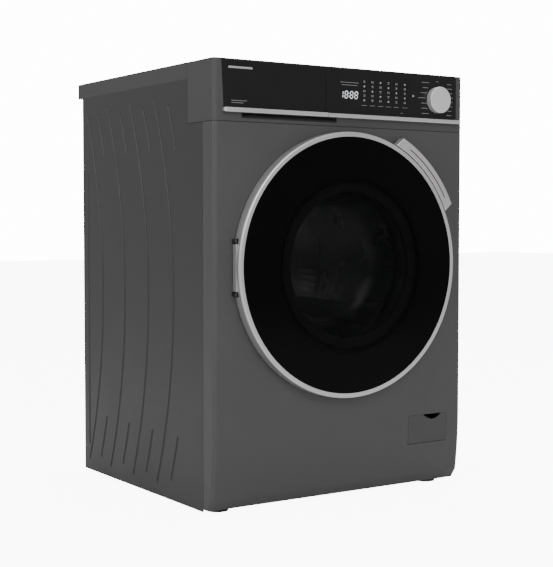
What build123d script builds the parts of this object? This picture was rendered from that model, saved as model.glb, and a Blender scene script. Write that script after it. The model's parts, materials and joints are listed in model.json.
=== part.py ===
from build123d import *
import os
from math import cos, radians, sin, sqrt

# A front load washing machine. Millimetres. The origin is the middle of the footprint on the floor,
# the front looks along -Y, +Z is up.

# ------------------------------------------------------------------ overall sizes
overall_width = 597.0
overall_height = 845.0
body_depth = 582.0
door_proud = 23.0
overall_depth = body_depth + door_proud
half_width = overall_width / 2
front_y = door_proud - overall_depth / 2
rear_y = overall_depth / 2
seam = 0.8
fit_gap = 0.1
running_gap = 0.05

# ------------------------------------------------------------------ cabinet sizes
sheet = 1.0
worktop_thick = 31.0
worktop_board = 16.0
worktop_skirt = 6.0
worktop_overhang = 24.0
side_rear_y = rear_y - worktop_overhang
worktop_under = overall_height - worktop_thick
side_bottom = 5.0
front_bottom = 10.0
corner_radius = 8.0
wrap_depth = 39.0
wrap_y = front_y + wrap_depth
toe_start = 150.0
toe_end = 28.0
toe_radius = 900.0
toe_back = 20.0
inner_x = half_width - sheet

# Fascia and control panel
fascia_bottom = overall_height - 114.0
fascia_depth = 95.0
fascia_wall = 3.0
fascia_front = 6.0
fascia_rear_y = front_y + fascia_depth
glass_thick = 4.0
glass_proud = 1.0
glass_half = half_width - 17.5
glass_slant = 5.0
glass_bottom = overall_height - 89.5
glass_top = overall_height - 2.0
glass_front_y = front_y - glass_proud
glass_back_y = glass_front_y + glass_thick
trim_right = half_width - 12.5
trim_left = glass_slant - glass_half - 3.5
trim_height = 8.0
trim_proud = 10.0
drawer_edge = -48.0
grip_x = -130.0
grip_half = 108.0
grip_deep = 14.0
grip_low = fascia_bottom + 6.0
grip_top = glass_bottom - 8.5
knob_x = half_width - 69.5
knob_z = overall_height - 51.5
knob_radius = 26.5
display_z = overall_height - 41.5
knob_deep = 14.0
knob_shaft = 4.0

# Door and porthole
door_z = 462.0
ring_outer = 258.0
ring_inner = 248.6
ring_rear_y = front_y - 1.0
door_front_y = -overall_depth / 2
cover_thick = 4.0
frame_rear_y = front_y - 1.5
frame_wall = 4.0
frame_plate = 3.0
bowl_flange = 156.0
bowl_mouth = 142.0
porthole = 190.0
hinge_x = -255.5
hinge_y = front_y - 8.5
hinge_pin = 1.4
hinge_knuckle = 2.6
arm_z = 49.0
arm_tall = 6.0
handle_inner = ring_outer + 1.2
handle_outer = 280.0
lever_r = 239.0
lever_y = front_y - 13.5
lever_hub = 4.0
hook_x = 222.0
hook_y = front_y - 10.5

# Tub and drum
tub_radius = 265.0
tub_nose = 255.0
tub_wall = 3.0
tub_front_y = -235.0
tub_step_y = -170.0
tub_split_y = -80.0
tub_back_y = 187.0
tub_mouth = 176.0
drum_radius = 240.0
drum_front_y = -222.0
drum_back_y = 145.0
drum_mouth = 165.0
shaft_radius = 15.0
hub_radius = 42.0
hub_end_y = 228.0
pulley_radius = 140.0
pulley_y = 236.0
belt_width = 12.0
belt_thick = 3.0
belt_gap = 0.3
motor_z = 115.0
motor_radius = 55.0
motor_pulley = 10.5

# Base, feet, dampers, springs
base_z = 30.0
base_thick = 2.0
base_half = inner_x - 3.5
foot_x = half_width - 43.5
foot_y = 238.0
foot_pad = 21.0
foot_stem = 5.0
damper_x = 190.0
damper_y = -20.0
damper_rod = 7.0
spring_x = half_width - 28.5
spring_y = 30.0
spring_coil = 9.0
spring_wire = 2.0
spring_low = 606.0
spring_high = overall_height - 47.0

# Dispenser
tray_left = 33.5 - half_width
tray_right = -65.0
tray_bottom = overall_height - 87.0
tray_top = overall_height - 30.0
tray_rear_y = -30.0
tray_wall = 2.0
spout_x = -165.0
spout_radius = 20.0
spout_y = tub_split_y + spout_radius + 15.0
spout_low = tray_bottom - 61.0
nozzle_x = -110.0
nozzle_z = overall_height - 55.0

# Pump and filter
filter_x = 211.0
filter_z = 122.0
filter_bore = 19.2
flap_left = 160.0
flap_right = 262.0
flap_low = 93.0
flap_high = 152.0
flap_thick = 2.5
flap_gap = 0.5
flap_corner = 6.0
flap_bead = flap_thick / 2

# Positions shared by more than one piece
sump_x = 60.0
sump_y = -125.0
sump_low = 172.0
sump_radius = 18.0
valve_x = 200.0
valve_z = overall_height - 67.0
valve_spigot = 13.2
switch_x = half_width - 63.5
switch_z = overall_height - 65.0
gland_x = -250.0
gland_z = 140.0
gland_radius = 10.0
drain_x = 250.0
drain_radius = 14.0
screw_x = inner_x - 10.5
screw_heights = (60.0, 300.0, 540.0, overall_height - 65.0)
screw_radius = 2.0

door_axis = Axis((0, 0, door_z), (0, 1, 0))


# ------------------------------------------------------------------ helpers
def facing(y):
    """Plane across the machine at depth y: local x is X, local y is Z."""
    return Plane.XZ.offset(-y)


def bar(x0, x1, y0, y1, z0, z1, mode=Mode.ADD):
    """Box between two corners in the part being built."""
    with Locations(((x0 + x1) / 2, (y0 + y1) / 2, (z0 + z1) / 2)):
        Box(x1 - x0, y1 - y0, z1 - z0, mode=mode)


def barrel(x, z, radius, y0, y1, mode=Mode.ADD):
    """Cylinder running front to back."""
    with Locations(Location((x, (y0 + y1) / 2, z), (90, 0, 0))):
        Cylinder(radius, y1 - y0, mode=mode)


def post(x, y, radius, z0, z1, mode=Mode.ADD):
    """Upright cylinder."""
    with Locations((x, y, (z0 + z1) / 2)):
        Cylinder(radius, z1 - z0, mode=mode)


def on_radius(radius, y, angle):
    """Location on a circle round the door axis, its local x pointing outwards."""
    x = radius * cos(radians(angle))
    z = door_z + radius * sin(radians(angle))
    return Location((x, y, z), (0, -angle, 0))


def polar(radius, angle):
    """Point on a circle round the middle of the door, in a facing plane."""
    return (radius * cos(radians(angle)), door_z + radius * sin(radians(angle)))


def lathe(points):
    """Solid of revolution round the door axis from (depth, radius) points."""
    with BuildPart() as turned:
        with BuildSketch(Plane.YZ):
            Polygon(*[(y, door_z + r) for y, r in points], align=None)
        revolve(axis=door_axis)
    return turned.part


# ------------------------------------------------------------------ side panels
press_lean = 76.01334
press_crest_z = 400.0
press_first_y = -127.5
press_pitch = 103.3
press_count = 4
press_width = 8.0
press_depth = 1.8
press_slope = 50.0
rib_y = 252.5
rib_low = 60.0
rib_high = 650.0
press_low = 30.0
press_high = overall_height - 60.0
press_radius = ((press_high - press_crest_z) ** 2 + press_lean ** 2) / (2 * press_lean)
press_lead = 52.0
press_short = 85.0


def press_point(crest_y, z):
    """Point of a pressing, an arc that bulges to the front, at height z."""
    drop = z - press_crest_z
    return (crest_y + press_radius - sqrt(press_radius ** 2 - drop ** 2), z)


def press_arc(crest_y, low, high):
    """Edge of a pressing between two heights."""
    middle = (low + high) / 2
    return ThreePointArc(press_point(crest_y, low), press_point(crest_y, middle),
                         press_point(crest_y, high), mode=Mode.PRIVATE)


def press_arcs():
    """Every pressing of one side: a long arc with a short one ahead of each of its ends."""
    arcs = []
    for number in range(press_count):
        crest = press_first_y + number * press_pitch
        arcs.append(press_arc(crest, press_low, press_high))
        arcs.append(press_arc(crest - press_lead, press_high - press_short - 15, press_high - 15))
        arcs.append(press_arc(crest - press_lead, press_low + 15, press_low + press_short + 15))
    return arcs


side_arcs = press_arcs()
with BuildPart() as side_right:
    with BuildSketch(Plane.YZ.offset(inner_x)):
        Polygon((wrap_y + seam, side_bottom), (side_rear_y, side_bottom), (side_rear_y, worktop_under),
                (fascia_rear_y + seam, worktop_under), (fascia_rear_y + seam, fascia_bottom - seam),
                (wrap_y + seam, fascia_bottom - seam), align=None)
    extrude(amount=sheet)
    for face_x, width, mode in ((inner_x, press_width + sheet, Mode.ADD),
                                (half_width, press_width, Mode.SUBTRACT)):
        with BuildSketch(Plane.YZ.offset(face_x)):
            for arc in side_arcs:
                SlotArc(arc, width)
            with Locations((rib_y, (rib_low + rib_high) / 2)):
                SlotOverall(rib_high - rib_low, width, rotation=90)
        extrude(amount=-press_depth, taper=press_slope, mode=mode)
    bar(inner_x - 18, inner_x, side_rear_y - 2 * sheet - fit_gap, side_rear_y - sheet - fit_gap,
        base_z, worktop_under - 1)
    for height in screw_heights:
        barrel(screw_x, height, screw_radius, side_rear_y - 5, side_rear_y, Mode.SUBTRACT)

with BuildPart() as side_left:
    mirror(side_right.part, about=Plane.YZ)


# ------------------------------------------------------------------ front panel
def toe_y(z):
    """Depth of the front skin at height z on the curved toe."""
    return front_y + toe_radius - sqrt(toe_radius ** 2 - (toe_start - z) ** 2)


def front_block(inset, over):
    """Block filling the front skin, drawn in by inset and run past its open edges by over."""
    face = front_y + inset
    top = fascia_bottom - seam + over
    middle = (toe_start + toe_end) / 2
    with BuildPart() as block:
        with BuildSketch(Plane.YZ):
            with BuildLine():
                Line((wrap_y + over, top), (face, top))
                Line((face, top), (face, toe_start))
                ThreePointArc((face, toe_start), (toe_y(middle) + inset, middle),
                              (toe_y(toe_end) + inset, toe_end))
                Line((toe_y(toe_end) + inset, toe_end), (front_y + toe_back, front_bottom + inset))
                Line((front_y + toe_back, front_bottom + inset), (wrap_y + over, front_bottom + inset))
                Line((wrap_y + over, front_bottom + inset), (wrap_y + over, top))
            make_face()
        extrude(amount=half_width - inset, both=True)
        sides = [e for e in block.edges() if abs(abs(e.center().X) - half_width + inset) < 0.01]
        fillet([e for e in sides if e.center().Y < front_y + 15], corner_radius - inset)
    return block.part


with BuildPart() as front_panel:
    add(front_block(0, 0))
    barrel(0, door_z, porthole + sheet, wrap_y, wrap_y + 1, Mode.SUBTRACT)
    add(front_block(sheet, 5), mode=Mode.SUBTRACT)
    barrel(0, door_z, porthole + sheet, front_y, front_y + 13)
    barrel(0, door_z, porthole, front_y - 1, front_y + 14, Mode.SUBTRACT)
    with BuildSketch(facing(front_y + 10)):
        with Locations(((flap_left + flap_right) / 2, (flap_low + flap_high) / 2)):
            RectangleRounded(flap_right - flap_left, flap_high - flap_low, flap_corner)
        with Locations(((flap_left + flap_right) / 2, flap_low + flap_corner / 2)):
            Rectangle(flap_right - flap_left, flap_corner)
    extrude(amount=12, mode=Mode.SUBTRACT)
    bar(hook_x - 10, hook_x + 16, front_y - 1, front_y + 2, door_z - 13, door_z + 13, Mode.SUBTRACT)
    for offset in (-arm_z, arm_z - 6 + arm_tall):
        bar(hinge_x - 4.2, hinge_x + 4.2, front_y - 1, front_y + 2, door_z + offset - arm_tall / 2 - 0.6,
            door_z + offset + arm_tall / 2 + 0.6, Mode.SUBTRACT)
    bar(186, 267, front_y, front_y + 15, 13, 17, Mode.SUBTRACT)

# ------------------------------------------------------------------ rear panel, base, worktop, braces
with BuildPart() as rear_panel:
    bar(-inner_x + fit_gap, inner_x - fit_gap, side_rear_y - sheet, side_rear_y, base_z,
        worktop_under - 0.5)
    barrel(0, door_z, pulley_radius + 30, side_rear_y, side_rear_y + 7)
    barrel(0, door_z, pulley_radius + 29, side_rear_y - 2, side_rear_y + 6, Mode.SUBTRACT)
    barrel(valve_x, valve_z, valve_spigot + 0.3, side_rear_y - 2, side_rear_y + 2, Mode.SUBTRACT)
    barrel(gland_x, gland_z, gland_radius, side_rear_y - 2, side_rear_y + 2, Mode.SUBTRACT)
    barrel(drain_x, gland_z, drain_radius, side_rear_y - 2, side_rear_y + 2, Mode.SUBTRACT)
    for x in (-screw_x, screw_x):
        for height in screw_heights:
            barrel(x, height, screw_radius, side_rear_y - 2, side_rear_y + 2, Mode.SUBTRACT)

with BuildPart() as rear_screws:
    for x in (-screw_x, screw_x):
        for height in screw_heights:
            barrel(x, height, 2 * screw_radius, side_rear_y, side_rear_y + 2.4)
            barrel(x, height, screw_radius, side_rear_y - 8, side_rear_y)

with BuildPart() as rear_grommets:
    barrel(gland_x, gland_z, gland_radius + 3, side_rear_y, side_rear_y + 8)
    barrel(gland_x, gland_z, gland_radius, side_rear_y - 6, side_rear_y)
    barrel(gland_x, gland_z, 4, side_rear_y - 7, side_rear_y + 9, Mode.SUBTRACT)
    barrel(drain_x, gland_z, drain_radius + 3, side_rear_y, side_rear_y + 4)
    barrel(drain_x, gland_z, drain_radius, side_rear_y - 8, side_rear_y + 18)
    barrel(drain_x, gland_z, drain_radius - 3.5, side_rear_y - 9, side_rear_y + 19, Mode.SUBTRACT)

with BuildPart() as base_tray:
    bar(-base_half, base_half, wrap_y + 1.5, side_rear_y - 3, base_z - 18, base_z)
    bar(-base_half + base_thick, base_half - base_thick, wrap_y + 3.5, side_rear_y - 5, base_z - 19,
        base_z - base_thick, Mode.SUBTRACT)
    for x in (-foot_x, foot_x):
        for y in (-foot_y + 20, foot_y):
            post(x, y, foot_stem + 6, base_z - 8, base_z)
            post(x, y, foot_stem + running_gap, base_z - 9, base_z + 1, Mode.SUBTRACT)

with BuildPart() as worktop:
    bar(-half_width, half_width, fascia_rear_y + seam, rear_y, worktop_under, overall_height)
    fillet(worktop.edges().group_by(Axis.Z)[-1].filter_by_position(Axis.Y, -1e3, rear_y - 0.1), 0.6)
    fillet(worktop.edges().group_by(Axis.Z)[-1].sort_by(Axis.Y)[-1], 3.0)
    bar(-half_width + worktop_skirt, half_width - worktop_skirt, fascia_rear_y,
        side_rear_y - worktop_skirt, worktop_under - 1, overall_height - worktop_board, Mode.SUBTRACT)

with BuildPart() as top_braces:
    for y in (spring_y - 15, side_rear_y - 34):
        bar(-inner_x + fit_gap, inner_x - fit_gap, y, y + 30, worktop_under - 13, worktop_under - 0.5)
        bar(-inner_x - 1, inner_x + 1, y + 1.5, y + 28.5, worktop_under - 11.5, worktop_under,
            Mode.SUBTRACT)

# ------------------------------------------------------------------ fascia and controls
with BuildPart() as fascia:
    with BuildSketch(Plane.XY.offset(fascia_bottom)):
        with Locations((0, (front_y + fascia_rear_y) / 2)):
            Rectangle(overall_width, fascia_depth)
    extrude(amount=overall_height - fascia_bottom)
    fillet(fascia.edges().filter_by(Axis.Z).group_by(Axis.Y)[0], corner_radius)
    fillet(fascia.edges().group_by(Axis.Z)[-1].filter_by_position(Axis.Y, -1e3, fascia_rear_y - 1), 1.5)
    bar(-half_width + fascia_wall, half_width - fascia_wall, front_y + fascia_front, fascia_rear_y + 1,
        fascia_bottom + fascia_wall, overall_height - fascia_wall, Mode.SUBTRACT)
    bar(-grip_half - 4 + grip_x, grip_half + 4 + grip_x, front_y + 5, front_y + grip_deep + 2,
        fascia_bottom + 2, grip_top + 2)
    with BuildSketch(Plane.YZ.offset(grip_x)):
        Polygon((front_y - 1, grip_low), (front_y, grip_low), (front_y + grip_deep, grip_top),
                (front_y - 1, grip_top), align=None)
    extrude(amount=grip_half, both=True, mode=Mode.SUBTRACT)
    with BuildSketch(facing(glass_back_y)):
        Polygon((glass_slant - glass_half - 0.4, glass_bottom - 0.4), (glass_half + 0.4, glass_bottom - 0.4),
                (glass_half + 0.4, glass_top + 0.4), (-glass_half - 0.4, glass_top + 0.4), align=None)
    extrude(amount=glass_thick + 2, mode=Mode.SUBTRACT)
    bar(tray_left - 2, tray_right + 2, front_y - 1, front_y + 12, tray_bottom - 1.5, tray_top + 2.5,
        Mode.SUBTRACT)
    bar(-25, 160, front_y - 1, front_y + 12, display_z - 28.5, display_z + 28.5, Mode.SUBTRACT)
    barrel(knob_x, knob_z, knob_shaft + running_gap, front_y - 1, front_y + 12, Mode.SUBTRACT)

with BuildPart() as control_glass:
    bar(drawer_edge + 0.5, glass_half, glass_front_y, glass_back_y, glass_bottom, glass_top)
    fillet(control_glass.edges().filter_by(Axis.Y).group_by(Axis.X)[-1], 3)
    chamfer(control_glass.faces().sort_by(Axis.Y)[0].edges(), 0.4)
    barrel(knob_x, knob_z, knob_shaft + running_gap, front_y - 2, front_y + 12, Mode.SUBTRACT)

with BuildPart() as trim_strip:
    bar(drawer_edge + 0.5, trim_right, front_y - trim_proud, front_y, glass_bottom - 0.6 - trim_height,
        glass_bottom - 0.6)
    fillet(trim_strip.edges().filter_by(Axis.X).group_by(Axis.Y)[0], 2.0)
    fillet(trim_strip.edges().filter_by(Axis.Z).group_by(Axis.X)[-1].sort_by(Axis.Y)[0], 3)

with BuildPart() as control_board:
    bar(-40, 175, front_y + 12, front_y + 13.6, display_z - 38.5, display_z + 34.5)
    bar(-18, 36, glass_back_y + 0.3, front_y + 12, display_z - 23.5, display_z + 4.5)
    bar(42, 152, glass_back_y + 0.3, front_y + 12, display_z - 25.5, display_z + 24.5)
    bar(60, 90, front_y + 13.6, front_y + 30, display_z - 3.5, display_z + 16.5)
    bar(100, 150, front_y + 13.6, front_y + 24, display_z - 28.5, display_z - 8.5)
    with Locations((-20, front_y + 22, display_z - 13.5), (10, front_y + 22, display_z - 13.5)):
        Box(16, 16.8, 24)
    bar(knob_x - 14, knob_x + 14, front_y + 6, front_y + 18, knob_z - 14, knob_z + 14)
    barrel(knob_x, knob_z, knob_shaft + running_gap, front_y + 5, front_y + 15, Mode.SUBTRACT)

with BuildPart() as selector_knob:
    barrel(knob_x, knob_z, knob_radius, glass_front_y - knob_deep, glass_front_y - 0.5)
    chamfer(selector_knob.faces().sort_by(Axis.Y)[0].edges(), 1.2)
    bar(knob_x - 0.8, knob_x + 0.8, glass_front_y - knob_deep - 1, glass_front_y - knob_deep + 0.6,
        knob_z + 12, knob_z + 22, Mode.SUBTRACT)
    barrel(knob_x, knob_z, knob_shaft, glass_front_y - 0.5, front_y + 14)

# ------------------------------------------------------------------ detergent drawer and dispenser
with BuildPart() as drawer_front:
    with BuildSketch(facing(glass_back_y - fit_gap)):
        Polygon((glass_slant - glass_half, glass_bottom), (drawer_edge - 0.5, glass_bottom),
                (drawer_edge - 0.5, glass_top), (-glass_half, glass_top), align=None)
    extrude(amount=glass_thick - fit_gap)
    fillet(drawer_front.edges().filter_by(Axis.Y).group_by(Axis.X)[0], 3)
    chamfer(drawer_front.faces().sort_by(Axis.Y)[0].edges(), 0.4)

with BuildPart() as drawer_trim:
    bar(trim_left, drawer_edge - 0.5, front_y - trim_proud, front_y - 0.4,
        glass_bottom - 0.6 - trim_height, glass_bottom - 0.05)
    fillet(drawer_trim.edges().filter_by(Axis.X).group_by(Axis.Y)[0], 2.0)
    fillet(drawer_trim.edges().filter_by(Axis.Z).group_by(Axis.X)[0].sort_by(Axis.Y)[0], 3)

with BuildPart() as drawer_tray:
    bar(tray_left, tray_right, glass_back_y - fit_gap, tray_rear_y, tray_bottom, tray_top)
    for left, right in ((tray_left + 2, -190), (-188, -115), (-113, tray_right - 2)):
        bar(left, right, glass_back_y + 3, tray_rear_y - tray_wall, tray_bottom + tray_wall,
            tray_top + 1, Mode.SUBTRACT)

with BuildPart() as siphon_cap:
    post(-150, -60, 12, tray_bottom + tray_wall, tray_bottom + 30)
    post(-150, -60, 15, tray_bottom + 30, tray_bottom + 33)
    bar(-152, -148, -74, -46, tray_bottom + 33, tray_bottom + 42)

with BuildPart() as dispenser_housing:
    bar(tray_left - 5, tray_right + 5, front_y + fascia_front + fit_gap, tray_rear_y + 10,
        tray_bottom - 6, tray_top + 6)
    bar(tray_left - 1, tray_right + 1, front_y, tray_rear_y + 6, tray_bottom - 1, tray_top + 2,
        Mode.SUBTRACT)
    post(spout_x, spout_y, spout_radius, tray_bottom - 23, tray_bottom - 2)
    post(spout_x, spout_y, spout_radius - 4, tray_bottom - 24, tray_bottom, Mode.SUBTRACT)
    barrel(nozzle_x, nozzle_z, 6, tray_rear_y + 9, tray_rear_y + 22)
    barrel(nozzle_x, nozzle_z, 4, tray_rear_y + 3, tray_rear_y + 23, Mode.SUBTRACT)

with BuildPart() as dispenser_hose:
    post(spout_x, spout_y, spout_radius + 3.5, spout_low, tray_bottom - 12)
    for rib in (10, 18, 26, 34):
        post(spout_x, spout_y, spout_radius + 7.5, spout_low + rib, spout_low + rib + 4)
    post(spout_x, spout_y, spout_radius + 0.3, spout_low - 1, tray_bottom - 11, Mode.SUBTRACT)

# ------------------------------------------------------------------ water inlet
with BuildPart() as inlet_valve:
    bar(valve_x - 28, valve_x + 28, 240, side_rear_y - sheet - 0.5, valve_z - 16, valve_z + 16)
    barrel(valve_x, valve_z, valve_spigot - 0.7, side_rear_y - 6, side_rear_y + 1)
    barrel(valve_x, valve_z, valve_spigot, side_rear_y + 1, side_rear_y + 19)
    barrel(valve_x, valve_z, 7, side_rear_y - 6, side_rear_y + 20, Mode.SUBTRACT)
    for x in (valve_x - 14, valve_x + 14):
        barrel(x, valve_z + 6, 9, 212, 240)

with BuildPart() as inlet_hose:
    with BuildLine() as inlet_path:
        FilletPolyline((valve_x, 239.5, valve_z - 10), (valve_x, 110, nozzle_z - 18),
                       (nozzle_x, 70, nozzle_z - 2), (nozzle_x, tray_rear_y + 23, nozzle_z), radius=24)
    for radius, mode in ((6, Mode.ADD), (4, Mode.SUBTRACT)):
        with BuildSketch(Plane(inlet_path.wires()[0] @ 0, z_dir=inlet_path.wires()[0] % 0)):
            Circle(radius)
        sweep(path=inlet_path.wires()[0], mode=mode)

with BuildPart() as pressure_switch:
    post(switch_x, 120, 22, switch_z - 12, switch_z + 12)
    post(switch_x, 120, 24, switch_z - 4, switch_z + 2)
    bar(switch_x, inner_x - fit_gap, 112, 128, switch_z + 12, switch_z + 16)

# ------------------------------------------------------------------ door
with BuildPart() as door_glass:
    barrel(0, door_z, ring_inner - 0.2, door_front_y, door_front_y + cover_thick)
    chamfer(door_glass.faces().sort_by(Axis.Y)[0].edges(), 0.6)

with BuildPart() as door_ring:
    with BuildSketch(Plane.YZ):
        Polygon((ring_rear_y, door_z + ring_inner), (ring_rear_y, door_z + ring_outer),
                (door_front_y + 3, door_z + ring_outer), (door_front_y + 0.8, door_z + ring_outer - 0.8),
                (door_front_y, door_z + ring_outer - 3), (door_front_y, door_z + ring_inner),
                align=None)
    revolve(axis=door_axis)
    bar(hinge_x - 5, hinge_x + 20, hinge_y - 4, ring_rear_y + 1, door_z - arm_z - 4.5,
        door_z + arm_z + 4.5, Mode.SUBTRACT)
    with Locations(on_radius(ring_outer - 4, (lever_y - 6 + ring_rear_y) / 2, 45)):
        Box(16, ring_rear_y - lever_y + 8, 22.6, mode=Mode.SUBTRACT)

with BuildPart() as door_frame:
    add(lathe([(frame_rear_y, bowl_flange + 0.2), (frame_rear_y, ring_inner - fit_gap),
               (door_front_y + 4.1, ring_inner - fit_gap), (door_front_y + 4.1, 244.5),
               (frame_rear_y - frame_plate, 244.5), (frame_rear_y - frame_plate, 160.2),
               (door_front_y + 4.1, 160.2), (door_front_y + 4.1, bowl_mouth),
               (frame_rear_y - 5.2, bowl_mouth), (frame_rear_y - 5.2, bowl_flange + 0.2)]))
    bar(hinge_x, hinge_x + 19, hinge_y - 4, frame_rear_y + 1, door_z - 53.5, door_z + 53.5,
        Mode.SUBTRACT)
    with Locations(on_radius(ring_outer - 9, (lever_y - 6 + frame_rear_y) / 2 + 2, 45)):
        Box(16, frame_rear_y - lever_y + 9, 22.6, mode=Mode.SUBTRACT)
    for offset in (-18, 18):
        with Locations(on_radius(lever_r, (lever_y + frame_rear_y - 6) / 2, 45) * Location((0, 0, offset))):
            Box(6, frame_rear_y - lever_y + 0.5, 4)
    with Locations(on_radius(lever_r, lever_y, 45)):
        Cylinder(hinge_pin, 38)
    bar(hook_x - 7, hook_x + 14, frame_rear_y - 4, frame_rear_y + 1, door_z - 10.5, door_z + 10.5,
        Mode.SUBTRACT)
    for z in (door_z - 15, door_z + 11):
        bar(hook_x - 4, hook_x + 4, hook_y - 4, frame_rear_y - 1, z, z + 4)
    post(hook_x, hook_y, hinge_pin, door_z - 15, door_z + 15)

with BuildPart() as door_bowl:
    with BuildSketch(Plane.YZ):
        with BuildLine():
            Line((-286, door_z + bowl_mouth), (-286, door_z + bowl_flange))
            Line((-286, door_z + bowl_flange), (-282, door_z + bowl_flange))
            Line((-282, door_z + bowl_flange), (-282, door_z + 147))
            Line((-282, door_z + 147), (-218, door_z + 130))
            Spline((-218, door_z + 130), (-199, door_z + 104), (-190, door_z),
                   tangents=[(1, -0.25), (0, -1)])
            Line((-190, door_z), (-194, door_z))
            Spline((-194, door_z), (-202.5, door_z + 101), (-221, door_z + 126),
                   tangents=[(0, 1), (-1, 0.25)])
            Line((-221, door_z + 126), (-286, door_z + bowl_mouth))
        make_face()
    revolve(axis=door_axis)

with BuildPart() as door_hinge:
    bar(hinge_x - hinge_knuckle, hinge_x + 8, hinge_y - 3.9, ring_rear_y, door_z - 43.5, door_z + 43.5)
    bar(hinge_x, -205, hinge_y, frame_rear_y - frame_plate, door_z - 38, door_z + 38)
    post(hinge_x, hinge_y, hinge_pin + running_gap, door_z - 50, door_z + 50, Mode.SUBTRACT)

with BuildPart() as hinge_bracket:
    bar(-275, -236, front_y + sheet, front_y + sheet + 2, door_z - 62, door_z + 62)
    for z in (door_z - arm_z - arm_tall / 2, door_z + arm_z - arm_tall / 2):
        bar(hinge_x - hinge_knuckle, hinge_x + hinge_knuckle, hinge_y, front_y + sheet + 1, z,
            z + arm_tall)
        post(hinge_x, hinge_y, hinge_knuckle, z, z + arm_tall)
    post(hinge_x, hinge_y, hinge_pin, door_z - arm_z - 5, door_z + arm_z + 5)

with BuildPart() as door_handle:
    with BuildSketch(facing(door_front_y + 17)):
        with Locations((0, door_z)):
            Circle(handle_outer)
            Circle(handle_inner, mode=Mode.SUBTRACT)
        Polygon(polar(230, 21.9), polar(300, 26.9), polar(320, 45), polar(300, 61.3), polar(230, 68.8),
                align=None, mode=Mode.INTERSECT)
    extrude(amount=17)
    fillet(door_handle.faces().sort_by(Axis.Y)[0].edges(), 1.2)
    with Locations(on_radius((lever_r + handle_inner + 1) / 2, lever_y, 45)):
        Box(handle_inner + 1 - lever_r, 6, 20)
    with Locations(on_radius(lever_r, lever_y, 45)):
        Cylinder(lever_hub, 31)
        Cylinder(hinge_pin + running_gap, 40, mode=Mode.SUBTRACT)
    with BuildSketch(facing(door_front_y + 1.3)):
        with Locations((0, door_z)):
            Circle(270.1)
            Circle(267.9, mode=Mode.SUBTRACT)
        Polygon(polar(230, 29.9), polar(300, 29.9), polar(320, 44), polar(300, 57.9), polar(230, 57.9),
                align=None, mode=Mode.INTERSECT)
    extrude(amount=3, mode=Mode.SUBTRACT)

with BuildPart() as handle_inlay:
    with BuildSketch(facing(door_front_y + 1.3)):
        with Locations((0, door_z)):
            Circle(270.0)
            Circle(268.0, mode=Mode.SUBTRACT)
        Polygon(polar(230, 30), polar(300, 30), polar(320, 44), polar(300, 57.8), polar(230, 57.8),
                align=None, mode=Mode.INTERSECT)
    extrude(amount=1.0)

with BuildPart() as latch_hook:
    post(hook_x, hook_y, 5, door_z - 10, door_z + 10)
    bar(hook_x - 3, hook_x + 3, hook_y, -256, door_z - 8, door_z + 8)
    bar(hook_x - 3, hook_x + 9, -260, -256, door_z - 8, door_z + 8)
    post(hook_x, hook_y, hinge_pin + running_gap, door_z - 20, door_z + 20, Mode.SUBTRACT)

with BuildPart() as door_lock:
    bar(196, 252, front_y + sheet + fit_gap, -248, door_z - 34, door_z + 34)
    bar(hook_x - 10, hook_x + 16, front_y, -251, door_z - 13, door_z + 13, Mode.SUBTRACT)
    bar(205, 243, -248, -240, door_z - 30, door_z + 5)

# ------------------------------------------------------------------ gasket, tub
with BuildPart() as gasket:
    add(lathe([(front_y - 0.5, 185.5), (front_y - 0.5, porthole - 0.3), (-258, porthole - 0.3),
               (-258, 164), (-250, 164), (-250, tub_mouth - 4.3), (-231.5, tub_mouth - 4.3),
               (-231.5, tub_mouth - 8), (-246, tub_mouth - 8), (-246, 160), (-262, 160),
               (-262, 185.5)]))

with BuildPart() as tub_front:
    post(sump_x, sump_y, sump_radius, sump_low, 222)
    barrel(0, door_z, tub_radius - tub_wall / 2, tub_step_y, tub_split_y, Mode.SUBTRACT)
    add(lathe([(tub_front_y - 14, tub_mouth - 4), (tub_front_y - 14, tub_mouth),
               (tub_front_y, tub_mouth), (tub_front_y, tub_nose), (tub_step_y, tub_nose),
               (tub_step_y, tub_radius), (tub_split_y - 11, tub_radius), (tub_split_y - 11, 271),
               (tub_split_y - 1, 271), (tub_split_y - 1, tub_radius - tub_wall),
               (tub_step_y + 3, tub_radius - tub_wall), (tub_step_y + 3, tub_nose - tub_wall),
               (tub_front_y + 4, tub_nose - tub_wall), (tub_front_y + 4, tub_mouth - 4)]))
    post(sump_x, sump_y, sump_radius - 4, sump_low - 1, 230, Mode.SUBTRACT)

with BuildPart() as tub_seal:
    add(lathe([(tub_split_y - 0.9, tub_radius - tub_wall + 1), (tub_split_y - 0.9, 270),
               (tub_split_y + 0.9, 270), (tub_split_y + 0.9, tub_radius - tub_wall + 1)]))

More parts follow.
